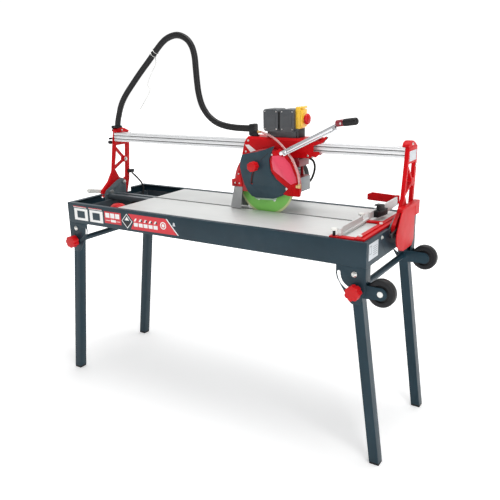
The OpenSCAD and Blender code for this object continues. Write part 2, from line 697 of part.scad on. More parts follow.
// Tube that joins a pair of legs
module cross_tube() difference() {
    reach = leg_y - leg_w / 2;
    rod_along_y(lock_x, lock_z, 24, -reach, reach);
    rod_along_y(lock_x, lock_z, 20, -reach - 1, reach + 1);
}

module left_legs() place() color("#39414A") mirror([1, 0, 0]) {
    both_sides() leg();
    cross_tube();
}

// Fork plate from a leg to the wheel's axle
module fork_plate(y0, y1, root) xz(y0, y1) {
    polygon([[root, 613], [root, 660], [wheel_x + 4, 658.6], [wheel_x + 8, 617]]);
    translate([wheel_x, wheel_z]) circle(22);
}

module right_legs() place() color("#39414A") {
    inner = -leg_y + leg_w / 2;
    face = leg_x + (leg_z - 637) * tan(leg_splay) + leg_w / 2 - 3;
    both_sides() {
        difference() {
            union() {
                leg();
                difference() {
                    fork_plate(-half_w + 3.5, -half_w + 7, face);
                    block([600, -260, 580], [666, -200, 670]);
                }
                fork_plate(inner, inner + 3, 648);
                rod_along_y(wheel_x, wheel_z, axle_d, -half_w + 3.5, inner + 3);
            }
            rod_along_y(lock_x, lock_z, leg_pin_d + 2 * run, -leg_y - leg_w, -leg_y + leg_w);
        }
    }
    cross_tube();
}

// Rubber cap on a leg's end, with a plug inside the tube
module foot() {
    shift = function (z) leg_x + (leg_z - z) * tan(leg_splay);
    side_y = leg_w / 2;
    inset = 2.5;
    plug_top = 34;
    xz(-leg_y - side_y, -leg_y + side_y) polygon([[shift(0) - foot_half, 0], [shift(0) + foot_half, 0],
        [shift(foot_h) + foot_half, foot_h], [shift(foot_h) - foot_half, foot_h]]);
    plug = foot_half - inset;
    xz(-leg_y - side_y + inset, -leg_y + side_y - inset) polygon([[shift(foot_h) - plug, foot_h],
        [shift(foot_h) + plug, foot_h], [shift(plug_top) + plug, plug_top], [shift(plug_top) - plug, plug_top]]);
}

module left_feet() place() color(black_c) mirror([1, 0, 0]) both_sides() foot();
module right_feet() place() color(black_c) both_sides() foot();

// Star knob on the stud that locks a leg
module leg_knob() {
    back = -half_w - 0.6;
    xz(-285, back - 8) translate([lock_x, lock_z]) lobed(52, 7, 21);
    rod_along_y(lock_x, lock_z, 26, back - 8, back);
    rod_along_y(lock_x, lock_z, leg_pin_d, back, -leg_y + leg_w / 2 + 8);
}

module knob_left_front() place() color(red_c) mirror([1, 0, 0]) leg_knob();
module knob_left_back() place() color(red_c) mirror([1, 0, 0]) mirror([0, 1, 0]) leg_knob();
module knob_right_front() place() color(red_c) leg_knob();
module knob_right_back() place() color(red_c) mirror([0, 1, 0]) leg_knob();

module wheel(side) place() color(black_c) translate([wheel_x, side * wheel_y, wheel_z]) rotate([90, 0, 0])
    rotate_extrude() {
        half = wheel_w / 2;
        rim = wheel_d / 2;
        hub = axle_d / 2 + run;
        polygon([[hub, -half], [16, -half], [16, 3 - half], [28, 6 - half], [30, 6 - half], [30, -half],
            [rim - 4, -half], [rim, 5 - half], [rim, half - 5], [rim - 4, half], [30, half], [30, half - 6],
            [28, half - 6], [16, half - 3], [16, half], [hub, half]]);
    }

module wheel_front() wheel(-1);
module wheel_back() wheel(1);

// ---------------------------------------------------------------- fence and levers
module at_far_plate() translate([582, 30, 0]) rotate([0, 0, fence_turn]) children();

module fence_plates() place() color(alu_c) {
    base_z = rim_z + 7.5;
    xz(-225, -205) polygon([[577, fence_z], [590, fence_z], [590, 835], [577, 835]]);
    xz(-205, -20) polygon([[577, fence_z], [590, fence_z], [590, fence_z + 5], [583, fence_z + 5],
        [583, 835], [577, 835]]);
    block([577, -20, fence_z], [588, 34, fence_z + 6]);
    at_far_plate() yz(0, 7)
        polygon([[0, base_z], [0, 837], [207, 858], [207, 826], [150, base_z + 4], [60, base_z]]);
    block([608, 232, 826], [618, lever_pin[1], 830]);
    rod_along_z(lever_pin[0], lever_pin[1], 8, 826, 864);
}

module fence_stop() place() color(black_c) at_far_plate() {
    block([7.3, 26, 814], [24, 100, 838]);
    block([7.3, 44, 838], [20, 84, 852]);
    block([-5, 50, 851], [20, 78, 856]);
}

// Thumb screw with a wide white cap
module thumb_screw(at) place() color("#E6E6E2") {
    rod_along_z(at[0], at[1], screw_d, rim_z + 0.5, 828);
    rod_along_z(at[0], at[1], 22, 828, 835);
}

module fence_knob_front() thumb_screw(fence_screws[0]);
module fence_knob_mid() thumb_screw(fence_screws[1]);

// Tapered red lever behind the fence
module fence_lever() place() color(red_c) difference() {
    union() {
        rod_along_z(lever_pin[0], lever_pin[1], 16, 831, 862);
        xz(242, 248) polygon([[491, 836], [500, 834], [606, 831], [606, 862], [510, 866], [491, 858]]);
    }
    rod_along_z(lever_pin[0], lever_pin[1], 8 + 2 * run, 825, 865);
}

// Lever from the tilt pivot to its tip
module tilt_lever(tip, hub_d, bar_w) {
    inner = column_x + column_t + 1;
    difference() {
        union() {
            rod_along_x(pivot_y, pivot_z, hub_d, inner, inner + 8);
            yz(inner + 1, inner + 7) bar([pivot_y, pivot_z], tip, bar_w);
        }
        rod_along_x(pivot_y, pivot_z, pin_d + 2 * run, inner - 1, inner + 9);
    }
}

module tilt_lever_left() place() color("#E6E6E2") mirror([1, 0, 0]) {
    tip = [-86, 823];
    tilt_lever(tip, 30, 18);
    rod_along_x(tip[0], tip[1], 22, column_x + column_t + 8, column_x + column_t + 20);
}

module tilt_lever_right() place() color(black_c) tilt_lever([-82, 790], 28, 14);

chassis();
water_tray();
table_plates();
centre_rails();
leg_gussets();
tilt_brackets();
pivot_pins();
water_pump();
fence_rail();
feed_tube();
column_left();
column_right();
bridge_beam();
end_caps();
pivot_cover();
hose_support();
conduit();
carriage_saddle();
conduit_clamp();
control_box();
switch_housing();
rod_bracket();
roller_left();
roller_right();
switch_flap();
stop_button();
guard_body();
side_cover();
skirt_holder();
splash_skirt();
motor_mount();
motor_housing();
fan_cover();
motor_cable();
handle_bar();
handle_grip();
water_tube();
guard_flap();
depth_knob();
blade();
arbor();
left_legs();
right_legs();
left_feet();
right_feet();
knob_left_front();
knob_left_back();
knob_right_front();
knob_right_back();
wheel_front();
wheel_back();
fence_plates();
fence_stop();
fence_knob_front();
fence_knob_mid();
fence_lever();
tilt_lever_left();
tilt_lever_right();
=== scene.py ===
import json
import math

import bmesh
import bpy
from mathutils import Matrix, Vector


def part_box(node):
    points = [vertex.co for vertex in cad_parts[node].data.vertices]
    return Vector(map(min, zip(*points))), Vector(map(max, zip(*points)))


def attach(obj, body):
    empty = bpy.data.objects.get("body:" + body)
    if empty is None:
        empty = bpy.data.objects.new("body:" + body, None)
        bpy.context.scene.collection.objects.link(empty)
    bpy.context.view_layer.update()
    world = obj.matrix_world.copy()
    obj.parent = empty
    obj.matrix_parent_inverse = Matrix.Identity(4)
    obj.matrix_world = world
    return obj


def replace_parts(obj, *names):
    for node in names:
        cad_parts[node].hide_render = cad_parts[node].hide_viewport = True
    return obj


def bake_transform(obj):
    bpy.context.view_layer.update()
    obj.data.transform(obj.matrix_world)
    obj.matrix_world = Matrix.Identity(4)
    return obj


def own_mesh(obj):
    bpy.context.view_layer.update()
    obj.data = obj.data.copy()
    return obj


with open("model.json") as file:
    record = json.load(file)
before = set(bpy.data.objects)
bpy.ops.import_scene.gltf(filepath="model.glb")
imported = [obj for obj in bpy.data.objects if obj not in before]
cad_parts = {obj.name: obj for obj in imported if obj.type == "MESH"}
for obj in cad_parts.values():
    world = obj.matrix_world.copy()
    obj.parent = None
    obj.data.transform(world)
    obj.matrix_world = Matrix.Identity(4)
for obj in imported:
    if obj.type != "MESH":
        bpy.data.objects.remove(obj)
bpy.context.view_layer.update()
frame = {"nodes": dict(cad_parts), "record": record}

# A bridge wet tile saw on folding legs. Every length below is in millimetres in the part's own
# layout, whose middle is the middle of the beam, and at() turns it into metres in the frame.
MM = 0.001
beam_lo, beam_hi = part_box("bridge_beam")
MID_X = (beam_lo.x + beam_hi.x) / 2


def at(x, y, z):
    return Vector((MID_X + x * MM, y * MM, z * MM))


def local_box(node):
    """Lowest and highest corner of a CAD node in millimetres of the layout."""
    lo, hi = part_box(node)
    shift = Vector((MID_X, 0, 0))
    return (lo - shift) / MM, (hi - shift) / MM


# Places that several pieces share, in the layout's millimetres
WHEEL_X, WHEEL_Z = 739, 637
WHEEL_HUB_R = 29
BLADE_X, BLADE_Z = 161, 912             # the blade's axis is also the motor's
FLAP_PIN_X, FLAP_PIN_Z = 272, 903
COLUMN_INNER, COLUMN_OUTER = 680, 706   # a column's two faces, from the middle of the beam
SADDLE_FRONT, BOX_FRONT = 48, 60
SWITCH_Z, START_Y, OFF_Y = 1136, 84, 104
SWITCH_HINGE_REACH = 9.0                # the lid's hinge barrels stand this far out of the switch box
GUARD_BACK, COVER_FRONT, HOLDER_FRONT = 44, -19, -12


# ---------------------------------------------------------------- camera
CAMERA_AT = at(1408.5, -2054.5, 1359.3)
CAMERA_YAW = math.radians(32.74)
CAMERA_PITCH = math.radians(16.57)
CAMERA_ROLL = math.radians(-1.31)
CAMERA_LENS = 44.87


def make_camera():
    forward = Vector((-math.sin(CAMERA_YAW) * math.cos(CAMERA_PITCH),
                      math.cos(CAMERA_YAW) * math.cos(CAMERA_PITCH), -math.sin(CAMERA_PITCH)))
    flat_right = forward.cross(Vector((0, 0, 1))).normalized()
    flat_up = flat_right.cross(forward)
    right = flat_right * math.cos(CAMERA_ROLL) + flat_up * math.sin(CAMERA_ROLL)
    up = flat_up * math.cos(CAMERA_ROLL) - flat_right * math.sin(CAMERA_ROLL)
    data = bpy.data.cameras.new("camera")
    data.lens = CAMERA_LENS
    data.sensor_width = 36
    data.clip_end = 60
    camera = bpy.data.objects.new("camera", data)
    turn = Matrix((right, up, -forward)).transposed()
    camera.matrix_world = Matrix.Translation(CAMERA_AT) @ turn.to_4x4()
    bpy.context.scene.collection.objects.link(camera)
    bpy.context.scene.camera = camera


make_camera()


# ---------------------------------------------------------------- materials
class Nodes:
    """A new material, with short ways to add nodes to it."""

    def __init__(self, name):
        self.material = bpy.data.materials.new(name)
        self.material.use_nodes = True
        self.tree = self.material.node_tree
        self.shader = self.tree.nodes["Principled BSDF"]
        self.coords = self.add("ShaderNodeTexCoord").outputs["Object"]

    def add(self, kind, **values):
        node = self.tree.nodes.new(kind)
        for key, value in values.items():
            if key in node.inputs:
                node.inputs[key].default_value = value
            else:
                setattr(node, key, value)
        return node

    def link(self, a, b):
        self.tree.links.new(a, b)

    def mapped(self, scale):
        mapping = self.add("ShaderNodeMapping")
        mapping.inputs["Scale"].default_value = scale
        self.link(self.coords, mapping.inputs["Vector"])
        return mapping.outputs["Vector"]

    def noise(self, scale, detail=4.0, stretch=(1, 1, 1), rough=0.55):
        noise = self.add("ShaderNodeTexNoise", Scale=scale, Detail=detail, Roughness=rough)
        self.link(self.mapped(stretch), noise.inputs["Vector"])
        return noise.outputs["Fac"]

    def ramp(self, value, stops):
        ramp = self.add("ShaderNodeValToRGB")
        elements = ramp.color_ramp.elements
        for i, (place, colour) in enumerate(stops):
            element = elements[i] if i < 2 else elements.new(place)
            element.position = place
            element.color = (*colour, 1) if len(colour) == 3 else colour
        self.link(value, ramp.inputs["Fac"])
        return ramp.outputs["Color"]

    def mix(self, share, a, b):
        mix = self.add("ShaderNodeMix", data_type="RGBA")
        for socket, value in ((mix.inputs[0], share), (mix.inputs[6], a), (mix.inputs[7], b)):
            if isinstance(value, bpy.types.NodeSocket):
                self.link(value, socket)
            else:
                socket.default_value = value if isinstance(value, float) else (*value, 1)
        return mix.outputs[2]

    def between(self, value, low, high):
        spread = self.add("ShaderNodeMapRange")
        spread.inputs["To Min"].default_value = low
        spread.inputs["To Max"].default_value = high
        self.link(value, spread.inputs["Value"])
        return spread.outputs["Result"]

    def worn(self, base, bare, amount):
        """Lets a lighter tone through in patches on the rounded edges."""
        edge = self.add("ShaderNodeAttribute", attribute_name="edge")
        patches = self.ramp(self.noise(55.0, 5.0, rough=0.7),
                            [(0.42, (0, 0, 0)), (0.62, (amount,) * 3)])
        share = self.add("ShaderNodeMath", operation="MULTIPLY")
        self.link(edge.outputs["Fac"], share.inputs[0])
        self.link(patches, share.inputs[1])
        return self.mix(share.outputs[0], base, bare)

    def bump(self, height, strength, distance):
        bump = self.add("ShaderNodeBump", Strength=strength, Distance=distance)
        self.link(height, bump.inputs["Height"])
        self.link(bump.outputs["Normal"], self.shader.inputs["Normal"])

    def set(self, **values):
        for key, value in values.items():
            self.shader.inputs[key.replace("_", " ")].default_value = value


def shade(colour, factor):
    return tuple(min(1.0, c * factor) for c in colour)


def grained(name, colour, rough, grain=700.0, depth=0.25, lift=1.25, metallic=0.0, coat=0.0,
            dust=(0.0, (0.5, 0.5, 0.5)), spread=0.08, wear=0.35, gloss=0.5):
    """Painted, moulded or rubber surface: blotchy tone, fine grain and uneven gloss."""
    n = Nodes(name)
    blotch = n.noise(9.0, 5.0)
    base = n.ramp(blotch, [(0.3, shade(colour, 2 - lift)), (0.7, shade(colour, lift))])
    if dust[0] > 0:
        film = n.ramp(n.noise(3.2, 8.0, rough=0.7), [(0.48, (0, 0, 0)), (0.75, (dust[0],) * 3)])
        base = n.mix(film, base, dust[1])
    base = n.worn(base, tuple(0.55 * c + 0.2 for c in colour), wear)
    n.link(base, n.shader.inputs["Base Color"])
    n.link(n.between(n.noise(35.0, 6.0), rough - spread, rough + spread), n.shader.inputs["Roughness"])
    n.bump(n.noise(grain, 3.0), depth, 0.0004)
    n.set(Metallic=metallic, Coat_Weight=coat, Coat_Roughness=0.12, Specular_IOR_Level=gloss)
    return n.material


def drawn_metal(name, colour, rough, along, metallic=0.9, contrast=0.12, depth=0.12):
    """Rolled or brushed metal, with streaks along one axis."""
    n = Nodes(name)
    squeeze = [260.0, 260.0, 260.0]
    squeeze[along] = 3.0
    streaks = n.noise(1.0, 6.0, squeeze, 0.7)
    cloud = n.noise(5.0, 4.0)
    streaked = n.ramp(streaks, [(0.3, shade(colour, 1 - contrast)), (0.7, shade(colour, 1 + contrast))])
    clouded = n.ramp(cloud, [(0.35, shade(colour, 0.94)), (0.65, shade(colour, 1.05))])
    tone = n.mix(0.5, streaked, clouded)
    n.link(n.worn(tone, shade(colour, 1.2), 0.6), n.shader.inputs["Base Color"])
    n.link(n.between(streaks, rough - 0.08, rough + 0.12), n.shader.inputs["Roughness"])
    n.bump(streaks, depth, 0.0003)
    n.set(Metallic=metallic)
    return n.material


def blade_material():
    """Green coated core with turned rings, and a pale diamond rim."""
    n = Nodes("blade_coating")
    low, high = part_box("blade")
    centre = (low + high) / 2
    shift = n.add("ShaderNodeVectorMath", operation="SUBTRACT")
    shift.inputs[1].default_value = centre
    n.link(n.coords, shift.inputs[0])
    length = n.add("ShaderNodeVectorMath", operation="LENGTH")
    n.link(shift.outputs[0], length.inputs[0])
    radius = (high.x - low.x) / 2
    share = n.between(length.outputs["Value"], 0, 1)
    share.node.inputs["From Max"].default_value = radius
    green, deep, rim = (0.27, 0.74, 0.14), (0.2, 0.6, 0.1), (0.7, 0.78, 0.4)
    rings_from_middle = [(0.0, deep), (0.25, deep), (0.3, green), (0.925, green), (0.94, rim), (1.0, rim)]
    coat = n.ramp(share, rings_from_middle)
    rings = n.add("ShaderNodeMath", operation="SINE")
    many = n.add("ShaderNodeMath", operation="MULTIPLY")
    many.inputs[1].default_value = 900.0
    n.link(share, many.inputs[0])
    n.link(many.outputs[0], rings.inputs[0])
    n.link(n.mix(n.between(n.noise(60.0, 6.0), 0.0, 0.12), coat, (0.35, 0.42, 0.3)),
           n.shader.inputs["Base Color"])
    n.link(n.between(n.noise(30.0), 0.28, 0.5), n.shader.inputs["Roughness"])
    n.bump(rings.outputs[0], 0.08, 0.0001)
    n.set(Metallic=0.25)
    return n.material


def tube_material():
    n = Nodes("clear_tube")
    n.link(n.ramp(n.noise(40.0), [(0.3, (0.72, 0.36, 0.36)), (0.7, (0.85, 0.55, 0.53))]),
           n.shader.inputs["Base Color"])
    n.link(n.between(n.noise(80.0), 0.1, 0.22), n.shader.inputs["Roughness"])
    n.set(Transmission_Weight=0.45, IOR=1.42)
    return n.material


BLUE_GREY = (0.013, 0.033, 0.047)
RED = (0.52, 0.003, 0.006)
LOOKS = {
    "frame_paint": grained("powder_coat", BLUE_GREY, 0.42, 900, 0.2, 1.12,
                           dust=(0.03, (0.3, 0.33, 0.35)), wear=0.2, gloss=0.25),
    "leg_paint": grained("leg_powder_coat", (0.008, 0.03, 0.045), 0.4, 900, 0.2, 1.15,
                         dust=(0.02, (0.3, 0.32, 0.34)), wear=0.2, gloss=0.25),
    "red_paint": grained("red_casting_paint", RED, 0.42, 260, 0.15, 1.08, wear=0.12, gloss=0.12),
    "dark_red_paint": grained("dark_red_paint", (0.2, 0.004, 0.007), 0.38, 260, 0.2, 1.2,
                              wear=0.12, gloss=0.2),
    "guard_paint": grained("guard_red_paint", (0.4, 0.006, 0.012), 0.4, 300, 0.2, 1.2,
                           dust=(0.25, (0.45, 0.38, 0.36))),
    "flap_paint": grained("flap_paint", (0.02, 0.048, 0.066), 0.4, 800, 0.2, 1.15,
                          dust=(0.06, (0.28, 0.29, 0.3)), wear=0.2, gloss=0.3),
    "aluminium_plate": drawn_metal("table_plate", (0.62, 0.63, 0.62), 0.42, 0, 0.35),
    "aluminium_beam": drawn_metal("beam_extrusion", (0.72, 0.73, 0.74), 0.34, 0, 0.5),
    "rail_steel": grained("rail_paint", (0.1, 0.125, 0.14), 0.4, 700, 0.2, 1.15, metallic=0.2),
    "tray_plastic": grained("tray_plastic", (0.03, 0.042, 0.052), 0.45, 500, 0.3, 1.3,
                            dust=(0.3, (0.14, 0.15, 0.15))),
    "zinc_steel": drawn_metal("zinc_plate", (0.62, 0.62, 0.6), 0.3, 2, 0.95),
    "chrome_bar": drawn_metal("chrome", (0.6, 0.61, 0.63), 0.14, 0, 1.0, 0.06, 0.03),
    "motor_paint": grained("motor_grey_paint", (0.24, 0.26, 0.27), 0.45, 320, 0.35, 1.15,
                           metallic=0.2),
    "black_plastic": grained("black_plastic", (0.008, 0.009, 0.011), 0.42, 650, 0.45, 1.3,
                             wear=0.08, gloss=0.25),
    "grey_plastic": grained("grey_black_plastic", (0.052, 0.057, 0.063), 0.42, 800, 0.4, 1.12),
    "yellow_plastic": grained("yellow_plastic", (0.88, 0.54, 0.04), 0.32, 600, 0.2, 1.05),
    "red_plastic": grained("red_plastic", (0.54, 0.004, 0.007), 0.34, 500, 0.2, 1.08,
                           wear=0.12, gloss=0.25),
    "white_plastic": grained("white_plastic", (0.75, 0.75, 0.71), 0.35, 500, 0.2, 1.04),
    "black_rubber": grained("black_rubber", (0.008, 0.008, 0.009), 0.48, 500, 0.4, 1.3,
                            dust=(0.02, (0.1, 0.1, 0.1)), wear=0.06, gloss=0.3),
    "grey_rubber": grained("grey_rubber", (0.34, 0.345, 0.35), 0.5, 420, 0.35, 1.12,
                           dust=(0.2, (0.5, 0.48, 0.46))),
    "blade_steel": blade_material(),
    "clear_tube": tube_material(),
}
PINK = grained("pink_panel", (0.78, 0.045, 0.105), 0.3, 300, 0.15, 1.06, coat=0.4)
DECAL_WHITE = grained("decal_white", (0.8, 0.8, 0.79), 0.35, 700, 0.05, 1.03)
DECAL_RED = grained("decal_red", (0.6, 0.008, 0.02), 0.35, 700, 0.05, 1.05)
DECAL_GREY = grained("decal_grey", (0.5, 0.53, 0.56), 0.4, 700, 0.05, 1.05)
# Near-black for printed marks, and for painted shade in gaps, creases and slots
DARK = grained("dark_print_and_painted_shade", (0.012, 0.013, 0.015), 0.6, 500, 0.2, 1.2)
# Painted shade: mid grey drawn on the floor of the beam's groove, where shade falls
PAINTED_GROOVE_SHADE = grained("beam_groove_painted_shade", (0.2, 0.205, 0.21), 0.5, 500, 0.1, 1.1)
BRASS = drawn_metal("brass", (0.65, 0.45, 0.2), 0.28, 0, 0.95)
COLLAR = grained("maroon_collar", (0.2, 0.012, 0.022), 0.35, 500, 0.3, 1.15)
GREEN_BUTTON = grained("green_button", (0.03, 0.3, 0.07), 0.3, 500, 0.2, 1.1)

SLOT_OF = {s["node"]: s["material_slot"] for s in frame["record"]["subparts"]}
BODY_OF = {n: b for b, members in frame["record"]["behaviour"]["bodies"].items() for n in members}


# ---------------------------------------------------------------- mesh helpers
def add_object(name, bm, material, sharp=35):
    mesh = bpy.data.meshes.new(name)
    bmesh.ops.recalc_face_normals(bm, faces=bm.faces)
    bm.to_mesh(mesh)
    bm.free()
    mesh.polygons.foreach_set("use_smooth", [True] * len(mesh.polygons))
    mesh.set_sharp_from_angle(angle=math.radians(sharp))
    mesh.materials.append(material)
    obj = bpy.data.objects.new(name, mesh)
    bpy.context.scene.collection.objects.link(obj)
    return obj


def piece(name, bm, body, slot, material=None, sharp=35):
    obj = add_object(name, bm, material or LOOKS[slot], sharp)
    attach(obj, body)
    return obj


def bevel(bm, width, segments=2, angle=28):
    """Rounds the sharp edges, and marks the new faces for the materials' edge wear."""
    limit = math.radians(angle)
    edges = [e for e in bm.edges if len(e.link_faces) == 2 and e.calc_face_angle(0) > limit]
    made = bmesh.ops.bevel(bm, geom=edges, offset=width * MM, offset_type="OFFSET", segments=segments,
                           profile=0.6, affect="EDGES", clamp_overlap=True)["faces"]
    layer = bm.loops.layers.float_color.new("edge")
    rounded = set(made)
    for face in bm.faces:
        for loop in face.loops:
            loop[layer] = (1, 1, 1, 1) if face in rounded else (0, 0, 0, 1)


def clean_copy(node):
    """The CAD node's mesh with its flat faces joined up."""
    bm = bmesh.new()
    bm.from_mesh(frame["nodes"][node].data)
    bmesh.ops.remove_doubles(bm, verts=bm.verts, dist=2e-6)
    bmesh.ops.dissolve_limit(bm, angle_limit=math.radians(0.5), verts=bm.verts, edges=bm.edges)
    return bm


def soften(node, width, areas=()):
    """Stands for a CAD node with the same shape and rounded edges. Each area is a material and a test of
    where, in the layout's millimetres, a face has it."""
    bm = clean_copy(node)
    bevel(bm, width)
    obj = piece(node + "_shell", bm, BODY_OF[node], SLOT_OF[node])
    for material, _ in areas:
        obj.data.materials.append(material)
    for face in obj.data.polygons:
        x, y, z = (face.center - Vector((MID_X, 0, 0))) / MM
        for i, (_, inside) in enumerate(areas):
            if inside(x, y, z):
                face.material_index = i + 1
    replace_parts(obj, node)
    return obj


def plate(bm, outline, to_point, low, high):
    """Adds a flat-sided solid to bm: outline points go through to_point(u, v, height)."""
    bottom = [bm.verts.new(to_point(u, v, low)) for u, v in outline]
    top = [bm.verts.new(to_point(u, v, high)) for u, v in outline]
    bm.faces.new(bottom)
    bm.faces.new(reversed(top))
    for i in range(len(outline)):
        j = (i + 1) % len(outline)
        bm.faces.new((bottom[i], bottom[j], top[j], top[i]))


def on_front(u, v, h):
    return at(u, h, v)


def on_end(u, v, h):
    return at(h, u, v)


def ring_points(u, v, r, count=24, turn=0.0):
    angles = [turn + 2 * math.pi * i / count for i in range(count)]
    return [(u + r * math.cos(a), v + r * math.sin(a)) for a in angles]


def rect(u0, v0, u1, v1):
    return [(u0, v0), (u1, v0), (u1, v1), (u0, v1)]


def lathe(bm, profile, centre, axis, sides=32):
    """Adds a turned solid: profile is (radius, distance along axis), from one end to the other."""
    axis = Vector(axis).normalized()
    side = axis.orthogonal().normalized()
    other = axis.cross(side)
    rings = []
    for r, h in profile:
        base = Vector(centre) + axis * h * MM
        if r < 0.01:
            rings.append([bm.verts.new(base)])
            continue
        rings.append([bm.verts.new(base + (side * math.cos(a) + other * math.sin(a)) * r * MM)
                      for a in (2 * math.pi * i / sides for i in range(sides))])
    for a, b in zip(rings, rings[1:]):
        for i in range(sides):
            j = (i + 1) % sides
            quad = [a[i % len(a)], a[j % len(a)], b[j % len(b)], b[i % len(b)]]
            unique = [v for k, v in enumerate(quad) if v not in quad[:k]]
            if len(unique) > 2:
                bm.faces.new(unique)
    for ring, flip in ((rings[0], True), (rings[-1], False)):
        if len(ring) > 1:
            bm.faces.new(reversed(ring) if flip else ring)


def hex_bolt(bm, centre, axis, size=10.0, washer=True):
    """Hexagon head with a chamfered top on a washer."""
    start = 0.0
    if washer:
        lathe(bm, [(size * 0.95, 0), (size * 0.95, size * 0.12), (size * 0.88, size * 0.18)],
              centre, axis, 28)
        start = size * 0.18
    lathe(bm, [(size * 0.58, start), (size * 0.58, start + size * 0.42), (size * 0.5, start + size * 0.52),
               (0, start + size * 0.52)], centre, axis, 6)


def socket_screw(bm, centre, axis, size=8.0):
    """Domed button-head screw with a hexagon socket."""
    r = size / 2
    lathe(bm, [(r, 0), (r * 0.97, r * 0.25), (r * 0.8, r * 0.5), (r * 0.55, r * 0.62), (r * 0.42, r * 0.62),
               (r * 0.4, r * 0.3), (0, r * 0.3)], centre, axis, 24)


def smooth_path(points, per_span):
    """Catmull-Rom curve through the points."""
    out = []
    for i in range(len(points) - 1):
        a, b = points[max(i - 1, 0)], points[i]
        c, d = points[i + 1], points[min(i + 2, len(points) - 1)]
        for j in range(per_span):
            u = j / per_span
            out.append(b + u * (c - a) / 2 + u * u * (2 * a - 5 * b + 4 * c - d) / 2
                       + u * u * u * (3 * b - a - 3 * c + d) / 2)
    out.append(points[-1].copy())
    return out


def sweep(bm, path, section, first_side):
    """Sweeps a section, a list of (side, up) pairs in millimetres, along the path."""
    last = len(path) - 1
    tangents = [(path[min(i + 1, last)] - path[max(i - 1, 0)]).normalized() for i in range(len(path))]
    side = Vector(first_side)
    rings = []
    for point, tangent in zip(path, tangents):
        side = (side - tangent * side.dot(tangent)).normalized()
        up = tangent.cross(side)
        rings.append([bm.verts.new(point + (side * s + up * u) * MM) for s, u in section])
    count = len(section)
    for a, b in zip(rings, rings[1:]):
        for i in range(count):
            j = (i + 1) % count
            bm.faces.new((a[i], a[j], b[j], b[i]))
    bm.faces.new(rings[0])
    bm.faces.new(reversed(rings[-1]))


# ---------------------------------------------------------------- hoses and cables
# The routes are those of the CAD tubes.
CONDUIT = [at(*p) for p in [
    (-684, 92, 1095), (-682, 92, 1112), (-674, 92, 1140), (-651, 92, 1195), (-619, 92, 1239),
    (-571, 92, 1288), (-519, 92, 1338), (-469, 92, 1383), (-402, 92, 1445), (-358, 92, 1473),
    (-307, 92, 1483), (-263, 92, 1469), (-235, 92, 1441), (-221, 92, 1400), (-217, 92, 1350),
    (-214, 92, 1302), (-208, 92, 1250), (-193, 92, 1201), (-165, 92, 1162), (-125, 92, 1134),
    (-80, 92, 1120), (-30, 92, 1114), (12, 92, 1113), (46, 92, 1113)]]
FEED = [at(*p) for p in [
    (-582, -95, 752), (-604, -90, 750), (-626, -60, 742), (-640, 0, 738), (-646, 80, 738), (-648, 150, 744),
    (-650, 188, 762), (-656, 204, 790), (-664, 202, 818), (-674, 184, 846), (-680, 166, 866),
    (-682, 160, 872)]]
CABLE = [at(*p) for p in [
    (244, 139, 992), (244, 152, 992), (249, 168, 993), (258, 180, 994), (270, 186, 990), (280, 188, 980),
    (285, 188, 964), (285, 186, 946), (282, 181, 928), (276, 174, 910), (266, 166, 897), (256, 160, 891),
    (246, 158, 890)]]
WATER = [at(*p) for p in [
    (110, 66, 1104), (122, 63, 1101), (151, 50, 1096), (191, 35, 1083), (224, 15, 1070), (248, 0, 1058),
    (266, -10, 1046), (283, -22, 1034), (306, -32, 1016), (323, -34, 980), (330, -32, 953), (331, -30, 930)]]
CONDUIT_D, FEED_D, CABLE_D, WATER_D = 27, 8, 9, 9
CONDUIT_RING = at(-436, 92, 1416)


def round_section(diameter, sides=16):
    return ring_points(0, 0, diameter / 2, sides)


def bundle_section(diameter, lobes=3, sides=48, depth=0.14):
    """Outline of a sleeve drawn over a few cables, with a shallow valley between them."""
    out = []
    for i in range(sides):
        angle = 2 * math.pi * i / sides
        r = diameter / 2 * (1 - depth * abs(math.sin(lobes * angle / 2)) ** 6)
        out.append((r * math.cos(angle), r * math.sin(angle)))
    return out


def hose(name, node, route, per_span, section, slot, first_side):
    path = smooth_path(route, per_span)
    bm = bmesh.new()
    sweep(bm, path, section, first_side)
    obj = add_object(name, bm, LOOKS[slot], 60)
    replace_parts(obj, node)
    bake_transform(obj)
    return obj


hose("conduit_sleeve", "conduit", CONDUIT, 6, bundle_section(CONDUIT_D), "black_rubber",
     (0, 1, 0))
hose("feed_hose", "feed_tube", FEED, 5, round_section(FEED_D), "black_rubber",
     (0, 0, 1))
hose("motor_lead", "motor_cable", CABLE, 5, round_section(CABLE_D), "black_rubber",
     (1, 0, 0))
hose("water_hose", "water_tube", WATER, 6, round_section(WATER_D), "clear_tube",
     (0, 0, 1))


# ---------------------------------------------------------------- the CAD nodes with rounded edges
EDGE = {
    "chassis": 1.2, "water_tray": 1.5, "table_plates": 0.8, "centre_rails": 1.2, "leg_gussets": 0.8,
    "tilt_brackets": 0.8, "pivot_pins": 0.6, "water_pump": 1.5, "fence_rail": 0.8, "column_left": 2.0,
    "column_right": 2.0, "bridge_beam": 0.8, "end_caps": 2.5, "pivot_cover": 1.5, "conduit_clamp": 1.5,
    "carriage_saddle": 1.2, "control_box": 3.0, "switch_housing": 2.0, "rod_bracket": 1.5,
    "roller_left": 0.6, "roller_right": 0.6,
    "switch_flap": 1.2, "stop_button": 0.8, "guard_body": 1.2, "side_cover": 1.2, "skirt_holder": 1.0,
    "motor_mount": 1.5, "motor_housing": 0.8, "fan_cover": 1.0, "handle_bar": 0.8, "guard_flap": 0.8,
    "depth_knob": 1.8, "blade": 0.4, "arbor": 0.6, "left_legs": 1.8, "right_legs": 1.5, "left_feet": 1.5,
    "right_feet": 1.5, "knob_left_front": 2.2, "knob_left_back": 2.2, "knob_right_front": 2.2,
    "knob_right_back": 2.2, "wheel_front": 1.5, "wheel_back": 1.5, "fence_plates": 0.8, "fence_stop": 1.5,
    "fence_knob_front": 1.0, "fence_knob_mid": 1.0, "fence_lever": 1.5, "tilt_lever_left": 1.5,
    "tilt_lever_right": 1.2,
}
frame_lo, frame_hi = local_box("chassis")
